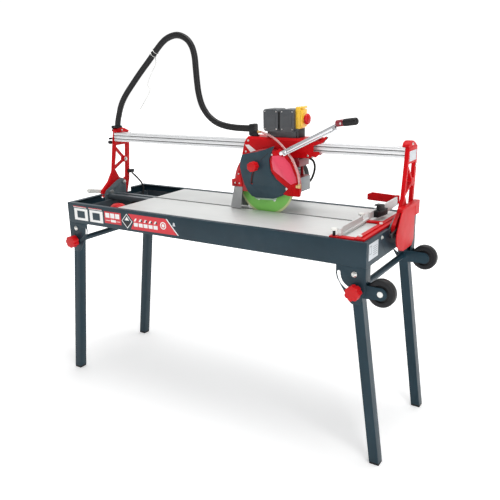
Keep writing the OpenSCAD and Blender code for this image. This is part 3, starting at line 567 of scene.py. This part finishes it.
fence_knob_top = local_box("fence_knob_front")[1].z


def on_wheel_hub(x, y, z):
    return math.hypot(x - WHEEL_X, z - WHEEL_Z) < WHEEL_HUB_R


def under_knob_cap(x, y, z):
    return z < fence_knob_top - 7.5


def on_knob_stud(x, y, z):
    """A leg knob's stud lies within the frame's width, and its head outside it."""
    return abs(y) < -frame_lo.y


AREAS = {
    "conduit_clamp": [(BRASS, lambda x, y, z: x > 94.5)],
    "fence_knob_front": [(LOOKS["black_plastic"], under_knob_cap)],
    "fence_knob_mid": [(LOOKS["black_plastic"], under_knob_cap)],
    "fence_rail": [(LOOKS["white_plastic"], lambda x, y, z: z > frame_hi.z + 7.5)],
    # painted shade in the beam's groove
    "bridge_beam": [(PAINTED_GROOVE_SHADE, lambda x, y, z: 70.4 < y < 73.2 and 1040 < z < 1062)],
    "rod_bracket": [(COLLAR, lambda x, y, z: z > 977)],
    "wheel_front": [(LOOKS["black_plastic"], on_wheel_hub)],
    "wheel_back": [(LOOKS["black_plastic"], on_wheel_hub)],
    # painted shade: the gap between the control box's two lobes, and its right end below the panels, are
    # drawn near-black
    "control_box": [(DARK, lambda x, y, z: 189.5 < x < 199.5 or x > 239 and z < 1107)],
    "motor_mount": [(LOOKS["motor_paint"], lambda x, y, z: z < 935)],
    "carriage_saddle": [(DARK, lambda x, y, z: x > 380)],
    "guard_body": [(LOOKS["zinc_steel"], lambda x, y, z: y < -9)],
    "side_cover": [(PINK, lambda x, y, z: -20.8 < y < -19.2 and z > 921 and x < 316),
                   (BRASS, lambda x, y, z: x > 316 and y < -23.5 and z > 913)],
    "stop_button": [(LOOKS["black_plastic"], lambda x, y, z: x < 293.2)],
}
for side in ("left_front", "left_back", "right_front", "right_back"):
    AREAS["knob_" + side] = [(LOOKS["zinc_steel"], on_knob_stud)]
for node, width in EDGE.items():
    soften(node, width, AREAS.get(node, ()))


# ---------------------------------------------------------------- splash skirt
def splash_skirt():
    """U-shaped rubber sheet with round corners, leaning outwards towards its lower edge."""
    lo, hi = local_box("splash_skirt")
    corner, corner_steps, thick, rows = 16.0, 6, 3.0, 14
    top_left, top_right = 20.0, 65.5        # the sheet's two ends at its upper edge
    lean, shortening = 20.0, 10.0           # how far those ends have moved at its lower edge
    ripple_height, ripple_pitch = 0.275, 9.0
    bm = bmesh.new()

    def outline(z, inset):
        down = (hi.z - z) / (hi.z - lo.z)
        open_edge = top_right - shortening * down
        left, front, back = top_left - lean * down + inset, lo.y + inset, hi.y - inset
        r = corner - inset
        points = [(open_edge, front)]
        for cx, cy, start in ((left + r, front + r, -90), (left + r, back - r, 180)):
            for k in range(corner_steps + 1):
                a = math.radians(start - 90 * k / corner_steps)
                points.append((cx + r * math.cos(a), cy + r * math.sin(a)))
        points.append((open_edge, back))
        return points

    def layer(inset):
        rings = []
        for i in range(rows + 1):
            z = hi.z - (hi.z - lo.z) * i / rows
            ripple = ripple_height * math.sin(math.pi * i / rows)
            rings.append([bm.verts.new(at(x, y + ripple * math.sin(x / ripple_pitch), z))
                          for x, y in outline(z, inset)])
        return rings

    outer, inner = layer(0.3), layer(thick)
    count = len(outer[0])
    for rings, flip in ((outer, False), (inner, True)):
        for a, b in zip(rings, rings[1:]):
            for i in range(count - 1):
                quad = (a[i], a[i + 1], b[i + 1], b[i])
                bm.faces.new(reversed(quad) if flip else quad)
    for row in (0, rows):
        for i in range(count - 1):
            bm.faces.new((outer[row][i], outer[row][i + 1], inner[row][i + 1], inner[row][i]))
    for i in (0, count - 1):
        for k in range(rows):
            bm.faces.new((outer[k][i], outer[k + 1][i], inner[k + 1][i], inner[k][i]))
    obj = piece("rubber_skirt", bm, "head", "grey_rubber", sharp=50)
    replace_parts(obj, "splash_skirt")
    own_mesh(obj)


splash_skirt()


# ---------------------------------------------------------------- hose holder
WIRE = [at(*p) for p in [
    (-630, 114, 1071), (-628, 116, 1084), (-577, 132, 1172), (-502, 122, 1256), (-508, 117, 1284),
    (-478, 112, 1330), (-447, 109, 1372)]]


def hose_holder():
    """Clamp and clips from the CAD, with a thin spring wire and two wire rings round the hose."""
    bm = clean_copy("hose_support")
    clips_end = -650        # everything to the right of it is the wire and its ring
    wire_side = [v for v in bm.verts if (v.co.x - MID_X) / MM > clips_end]
    bmesh.ops.delete(bm, geom=wire_side, context="VERTS")
    bevel(bm, 1.5)
    holder = piece("hose_clips", bm, "bridge", "black_plastic")
    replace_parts(holder, "hose_support")

    bm = bmesh.new()
    along = (CONDUIT[8] - CONDUIT[6]).normalized()
    side = Vector((0, 1, 0))
    up = along.cross(side)
    wire_d, ring_r = 2.6, (CONDUIT_D / 2 + 1.2) * MM
    ends = [CONDUIT_RING + along * shift * MM for shift in (-9, 9)]
    route = smooth_path(WIRE + [end + side * ring_r for end in ends], 8)
    sweep(bm, route, round_section(wire_d, 8), side)
    for end in ends:
        loop = [end + (side * math.cos(a) + up * math.sin(a)) * ring_r
                for a in (2 * math.pi * i / 40 for i in range(41))]
        sweep(bm, loop, round_section(wire_d, 8), along)
    piece("spring_wire", bm, "bridge", "zinc_steel")

    bm = bmesh.new()
    socket_screw(bm, at(-711, 82, 1086), (0, -1, 0), 7)
    lathe(bm, [(6.5, 0), (6.5, 1), (3, 1), (3, 3), (0, 3)], at(-718.0, 62, 1027), (-1, 0, 0))
    piece("clamp_screws", bm, "bridge", "zinc_steel")


hose_holder()


GRIP_AT = at(484, -42, 1157)
GRIP_AXIS = (Matrix.Rotation(math.radians(-8), 3, "Z") @ Matrix.Rotation(math.radians(82), 3, "Y")
             @ Vector((0, 0, 1)))


def grip():
    """Rubber grip with shallow rings, a maroon collar with a pale mark and a round end."""
    def turned(name, profile, slot, material=None):
        bm = bmesh.new()
        lathe(bm, profile, GRIP_AT, GRIP_AXIS, 40)
        return piece(name, bm, "head", slot, material)

    radius, valley, first_ring, pitch = 13, 12.3, 36, 6.5
    rubber = [(0, 30.5), (12, 30.5), (radius, 31.5)]
    for i in range(6):
        h = first_ring + pitch * i
        rubber += [(radius, h), (valley, h + 0.8), (valley, h + 1.6), (radius, h + 2.4)]
    rubber += [(radius, 74), (12.2, 79), (10, 82), (6, 83.6), (0, 84)]
    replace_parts(turned("grip_rubber", rubber, "black_rubber"), "handle_grip")
    collar = [(0, 0.2), (11, 0.2), (12, 1.8), (12, 10), (11.5, 11), (11.5, 13), (12, 14), (12, 28.5),
              (11.2, 30.4), (0, 30.4)]
    turned("grip_collar", collar, "red_plastic", COLLAR)
    bm = bmesh.new()
    mark_at = GRIP_AT + GRIP_AXIS * 20 * MM
    for rise in (-2.7, 1.2):
        lathe(bm, [(0, 0), (2.4, 0), (2.4, 0.5), (0, 0.6)], mark_at + Vector((0, -11.7, rise)) * MM,
              (0, -1, 0), 12)
    piece("grip_marks", bm, "head", "white_plastic", DECAL_WHITE)


grip()


# ---------------------------------------------------------------- printed marks and painted shade
def decal(name, outlines, to_point, face, lift, material, body, slot="white_plastic"):
    """Thin film of one or more outlines on a flat face; lift is signed outwards."""
    bm = bmesh.new()
    for outline in outlines:
        plate(bm, outline, to_point, face, face + lift)
    return piece(name, bm, body, slot, material)


def hollow(u0, v0, u1, v1, across, down):
    return [rect(u0, v0, u1, v0 + down), rect(u0, v1 - down, u1, v1),
            rect(u0, v0 + down, u0 + across, v1 - down), rect(u1 - across, v0 + down, u1, v1 - down)]


def band(outline, inset):
    """Quads that follow a closed outline, inset towards its middle."""
    cu = sum(p[0] for p in outline) / len(outline)
    cv = sum(p[1] for p in outline) / len(outline)
    inner = [(cu + (u - cu) * (1 - inset), cv + (v - cv) * (1 - inset)) for u, v in outline]
    count = len(outline)
    return [[outline[i], outline[(i + 1) % count], inner[(i + 1) % count], inner[i]] for i in range(count)]


def front_marks():
    """Plain blocks and bands where the panel's printing is."""
    face = frame_lo.y

    def mark(name, outlines, lift, material):
        decal(name, outlines, on_front, face, -lift, material, "frame")

    mark("panel_blocks", hollow(-651, 733, -571, 784, 17, 10) + hollow(-559, 733, -482, 784, 17, 10),
         0.25, DECAL_WHITE)
    mark("panel_lines", [rect(-655, 791, -577, 793.5), rect(-563, 791, -486, 793.5)], 0.25, DECAL_RED)
    mark("panel_lines_pale", [rect(-655, 787.5, -577, 790), rect(-563, 787.5, -486, 790)],
         0.25, DECAL_WHITE)
    mark("panel_red", [rect(-472, 738, -378, 788)], 0.2, DECAL_RED)
    mark("panel_bars", [rect(-466, 762, -443, 782), rect(-438, 762, -415, 782), rect(-410, 762, -387, 782),
                        rect(-466, 749, -440, 751), rect(-436, 745, -408, 755), rect(-404, 749, -384, 751)],
         0.35, DECAL_WHITE)
    mark("panel_banner", [[(-338, 791), (-142, 791), (-87, 731), (-327, 728), (-309, 759)]],
         0.2, DECAL_RED)
    mark("panel_slash", [[(-140, 791), (-134, 791), (-79, 731), (-85, 731)]], 0.25, DECAL_WHITE)
    diamond = [(-375, 759), (-346, 790), (-317, 759), (-346, 728)]
    mark("panel_diamond", band(diamond, 0.13), 0.35, DECAL_WHITE)
    mark("panel_diamond_dark", [[(-366, 756), (-326, 756), (-346, 735)]], 0.3, DARK)
    mark("panel_diamond_pale", [[(-358, 762), (-334, 762), (-346, 778)]], 0.3, DECAL_WHITE)
    steps = [26 * i for i in range(5)]
    mark("panel_squares", [rect(-309 + u, 742, -288 + u, 757) for u in steps], 0.35, DECAL_WHITE)
    mark("panel_ticks", [[(-308 + u, 763), (-300 + u, 763), (-292 + u, 775), (-300 + u, 775)] for u in steps],
         0.35, DECAL_WHITE)
    mark("panel_ticks_dark", [rect(-296 + u, 764, -289 + u, 772) for u in steps[1:]], 0.35, DARK)
    mark("panel_ring", band(ring_points(-155, 762, 15), 0.28), 0.35, DECAL_WHITE)
    mark("panel_ring_core", [ring_points(-155, 762, 7, 16)], 0.35, DECAL_WHITE)
    mark("panel_spot", [[(-108, 766), (-94, 766), (-98, 780), (-104, 780)]], 0.25, DECAL_GREY)


front_marks()


def end_marks():
    """Blank plate, bolt and the painted shade of a pressed crease on the right end of the frame."""
    face = frame_hi.x
    decal("end_plate", [rect(-227, 738, -146, 794)], on_end, face, 0.3, DECAL_GREY, "frame")
    lines = [rect(-190, 750 + 7 * i, -154, 751.2 + 7 * i) for i in range(5)]
    decal("end_plate_lines", lines + hollow(-222, 758, -204, 786, 1.5, 1.5), on_end, face + 0.3, 0.1,
          LOOKS["frame_paint"], "frame")
    # painted shade: a dark stripe where the pressed crease would be shaded
    decal("end_crease_painted_shade", [[(-119.5, 776), (-117, 776), (-73, 730), (-75.5, 730)]], on_end, face, 0.15,
          DARK, "frame", "frame_paint")
    bm = bmesh.new()
    hex_bolt(bm, at(face, -114, 792), (1, 0, 0), 8)
    piece("end_bolt", bm, "frame", "zinc_steel")


end_marks()


def bridge_details():
    """Screws and bolts of the two columns, and the blank plate on the right one."""
    bm = bmesh.new()
    for side in (-1, 1):
        socket_screw(bm, at(side * COLUMN_OUTER, 112, 1080), (side, 0, 0), 9)
        socket_screw(bm, at(side * COLUMN_INNER, 112, 1080), (-side, 0, 0), 9)
        hex_bolt(bm, at(side * 689, 131, 943), (-side, 0, 0), 10)
        hex_bolt(bm, at(side * COLUMN_OUTER, 158, 1000), (side, 0, 0), 7)
    piece("bridge_bolts", bm, "bridge", "zinc_steel")
    decal("column_plate", [rect(84, 1020, 158, 1056)], on_end, COLUMN_OUTER, 0.3, DECAL_GREY, "bridge")


bridge_details()


def carriage_details():
    """Stripe, screws, panels, buttons and the hose gland of the carriage."""
    decal("saddle_stripe", [[(44, 1053), (63, 1054), (103, 1027), (72, 1022)]], on_front, SADDLE_FRONT,
          -0.25, DECAL_WHITE, "carriage")
    bm = bmesh.new()
    for x, z in ((60, 1070), (326, 1070), (48, 1026), (326, 1024), (240, 1040)):
        socket_screw(bm, at(x, SADDLE_FRONT, z), (0, -1, 0), 9)
    for x in (132, 182, 207, 252):
        for z in (1118, 1184):
            socket_screw(bm, at(x, BOX_FRONT, z), (0, -1, 0), 5)
    piece("carriage_screws", bm, "carriage", "zinc_steel")

    bm = bmesh.new()
    for left, right in ((136, 178), (209, 250)):
        plate(bm, rect(left, 1128, right, 1170), on_front, BOX_FRONT, BOX_FRONT - 1.2)
    bevel(bm, 0.8)
    piece("control_panels", bm, "carriage", "grey_plastic")
    switch_x = local_box("switch_housing")[1].x - SWITCH_HINGE_REACH
    bm = bmesh.new()
    for y in (START_Y, OFF_Y):
        lathe(bm, [(7, 0), (7, 0.5), (5.5, 0.8)], at(switch_x, y, SWITCH_Z), (1, 0, 0))
    piece("switch_rings", bm, "carriage", "black_plastic")
    for name, y, material in (("start_button", START_Y, GREEN_BUTTON),
                              ("off_button", OFF_Y, LOOKS["red_plastic"])):
        bm = bmesh.new()
        lathe(bm, [(0, -1), (5, -1), (5, 0.5), (4.4, 0.75), (0, 0.8)], at(switch_x, y, SWITCH_Z), (1, 0, 0))
        piece(name, bm, "carriage", "black_plastic", material)
    bm = bmesh.new()
    lathe(bm, [(15.5, 0), (15.5, 1.6), (14.2, 2.4)], at(46.4, 92, 1113), (-1, 0, 0))
    piece("conduit_gland", bm, "carriage", "black_plastic")


carriage_details()


motor_r = (local_box("fan_cover")[1].x - local_box("fan_cover")[0].x) / 2


def round_axis(r, angle):
    """Place in X and Z at this distance from the blade's and motor's axis."""
    return BLADE_X + r * math.cos(math.radians(angle)), BLADE_Z + r * math.sin(math.radians(angle))


def head_details():
    """Screws of the guard, and the small parts of the motor."""
    bm = bmesh.new()
    for x, z in ((208, 1030), (296, 1013), (322, 962)):
        socket_screw(bm, at(x, COVER_FRONT, z), (0, -1, 0), 8)
    hex_bolt(bm, at(FLAP_PIN_X, -9.5, FLAP_PIN_Z), (0, -1, 0), 9, False)
    for x, z in ((50, 945), (32, 908), (52, 908)):
        socket_screw(bm, at(x, HOLDER_FRONT, z), (0, -1, 0), 7)
    for x, z in [round_axis(118, angle) for angle in (35, 90, 145)] + [(120, 890)]:
        socket_screw(bm, at(x, GUARD_BACK, z), (0, 1, 0), 9)
    piece("guard_screws", bm, "head", "zinc_steel")

    bm = bmesh.new()
    lead_box_front, lead_box_back = 140, 172
    plate(bm, rect(205, 877, 240, 903), on_front, lead_box_back, lead_box_back + 0.1)
    for x, z in ((216, 880), (240, 900)):
        socket_screw(bm, at(x, lead_box_front, z), (0, -1, 0), 5)
    lathe(bm, [(7.5, 0), (7.5, 5), (6.4, 6), (6.4, 9)], at(246, 158, 890), (1, 0, 0), 24)
    piece("lead_gland", bm, "head", "black_plastic")
    bm = bmesh.new()
    band_y, fan_back = 213, 268.6
    lathe(bm, [(motor_r + 0.3, 0), (motor_r + 0.3, 3)], at(BLADE_X, band_y, BLADE_Z), (0, 1, 0), 48)
    for x, z in (round_axis(48, 45 + 90 * i) for i in range(4)):
        socket_screw(bm, at(x, fan_back, z), (0, 1, 0), 7)
    piece("fan_cover_band", bm, "head", "zinc_steel")


head_details()


LIP = grained("clear_lip", (0.36, 0.5, 0.38), 0.25, 300, 0.1, 1.05, gloss=0.3)


def flap_details():
    """A painted shadow line, dark dots and the clear lip on the guard flap."""
    face = -12.5

    def mark(name, outlines):
        decal(name, outlines, on_front, face, -0.2, DARK, "guard_flap", "flap_paint")

    # painted shadow: a dark line across the flap
    mark("flap_painted_shadow_line", [[(153, 1007), (155, 1005.5), (189, 1034.5), (187, 1036)]])
    mark("flap_dots", [ring_points(203 + 13.2 * i, 951 - 10 * i, 1.6, 10) for i in range(5)])
    bm = bmesh.new()
    lip = [(120, 859), (129, 857), (210, 860), (222, 865)]
    low = [(124, 853), (130, 851), (211, 853), (220, 858)]
    plate(bm, lip + low[::-1], on_front, -9.4, -8.4)
    piece("flap_lip", bm, "guard_flap", "clear_tube", LIP)


flap_details()


def slot_painted_shade():
    """Painted shade: a dark strip on the guard that stands for the shade seen through the flap's curved slot.
    """
    def arc(r, angles):
        return [(FLAP_PIN_X + r * math.cos(math.radians(a)), FLAP_PIN_Z + r * math.sin(math.radians(a)))
                for a in angles]

    outer_r, inner_r, guard_front = 166.5, 157.5, -8
    angles = [126 + 3.4 * i for i in range(16)]
    strips = [arc(outer_r, pair) + arc(inner_r, pair)[::-1] for pair in zip(angles, angles[1:])]
    decal("slot_painted_shade", strips, on_front, guard_front, -0.3, DARK, "head", "flap_paint")


slot_painted_shade()


def axle_ends():
    """Flush discs on the outer ends of the wheel axles."""
    bm = bmesh.new()
    for side in (-1, 1):
        lathe(bm, [(10, 0), (10, 0.3), (8.5, 0.45), (0, 0.45)], at(WHEEL_X, side * 243.5, WHEEL_Z),
              (0, side, 0), 28)
    piece("axle_ends", bm, "right_legs", "zinc_steel")


axle_ends()


def small_hardware():
    """Flush screws of the table plates."""
    bm = bmesh.new()
    table_z = 803
    screw = [(0, 0), (3.6, 0), (3.6, 0.15), (1.8, 0.15), (1.8, 0.05), (0, 0.05)]
    for x in (-408, 135, 655):
        for y in (-215, -24, 62, 215):
            lathe(bm, screw, at(x, y, table_z), (0, 0, 1), 20)
    piece("table_screws", bm, "frame", "zinc_steel")


small_hardware()


# ---------------------------------------------------------------- stage
ROOM_LIGHT, BACKDROP_LIGHT = 0.22, 1.05
# Painted light: the floor glows by itself, from FLOOR_GLOW near the saw to full glow further out, leaving a
# painted shade round the saw
FLOOR_HALF, FLOOR_GLOW = 14.0, 0.3
GLOW_FROM, GLOW_FULL = 0.9, 2.6         # metres from the origin
LAMPS = (                               # name, place, size, power
    ("key", (3.2, -2.2, 2.8), 2.0, 80),
    ("top", (0.3, 0.2, 4.2), 2.2, 90),
    ("fill", (-2.2, -3.6, 2.2), 2.4, 10),
)
LAMP_TARGET = Vector((0, 0, 0.8))


def studio_sky():
    """Bright backdrop behind the saw that falls off to a dim room in front of it."""
    world = bpy.data.worlds.new("studio")
    world.use_nodes = True
    tree = world.node_tree
    coords = tree.nodes.new("ShaderNodeTexCoord")
    dot = tree.nodes.new("ShaderNodeVectorMath")
    dot.operation = "DOT_PRODUCT"
    dot.inputs[1].default_value = (-math.sin(CAMERA_YAW), math.cos(CAMERA_YAW), 0)
    tree.links.new(coords.outputs["Generated"], dot.inputs[0])
    spread = tree.nodes.new("ShaderNodeMapRange")
    for key, value in (("From Min", -0.2), ("From Max", 0.75),
                       ("To Min", ROOM_LIGHT), ("To Max", BACKDROP_LIGHT)):
        spread.inputs[key].default_value = value
    tree.links.new(dot.outputs["Value"], spread.inputs["Value"])
    tree.links.new(spread.outputs["Result"], tree.nodes["Background"].inputs["Strength"])
    tree.nodes["Background"].inputs["Color"].default_value = (1, 1, 1, 1)
    bpy.context.scene.world = world


def make_stage():
    """Plain floor with painted light: it glows, less near the saw so that a painted shade stays round it;
    then the backdrop and the lamps.
    """
    bm = bmesh.new()
    corners = rect(-FLOOR_HALF, -FLOOR_HALF, FLOOR_HALF, FLOOR_HALF)
    bm.faces.new([bm.verts.new((x, y, 0)) for x, y in corners])
    n = Nodes("floor")
    n.link(n.ramp(n.noise(0.6), [(0.3, (0.86, 0.86, 0.86)), (0.7, (0.88, 0.88, 0.88))]),
           n.shader.inputs["Base Color"])
    distance = n.add("ShaderNodeVectorMath", operation="LENGTH")
    n.link(n.coords, distance.inputs[0])
    glow = n.between(distance.outputs["Value"], FLOOR_GLOW, 1.0)
    glow.node.inputs["From Min"].default_value = GLOW_FROM
    glow.node.inputs["From Max"].default_value = GLOW_FULL
    n.link(glow, n.shader.inputs["Emission Strength"])
    n.set(Roughness=0.85, Specular_IOR_Level=0.1, Emission_Color=(1, 1, 1, 1))
    add_object("floor", bm, n.material)
    studio_sky()
    for name, place, size, power in LAMPS:
        data = bpy.data.lights.new(name, "AREA")
        data.size = size
        data.energy = power
        light = bpy.data.objects.new(name, data)
        light.location = place
        aim = LAMP_TARGET - Vector(place)
        light.rotation_euler = aim.to_track_quat("-Z", "Y").to_euler()
        bpy.context.scene.collection.objects.link(light)
    bpy.context.scene.view_settings.view_transform = "Standard"


make_stage()
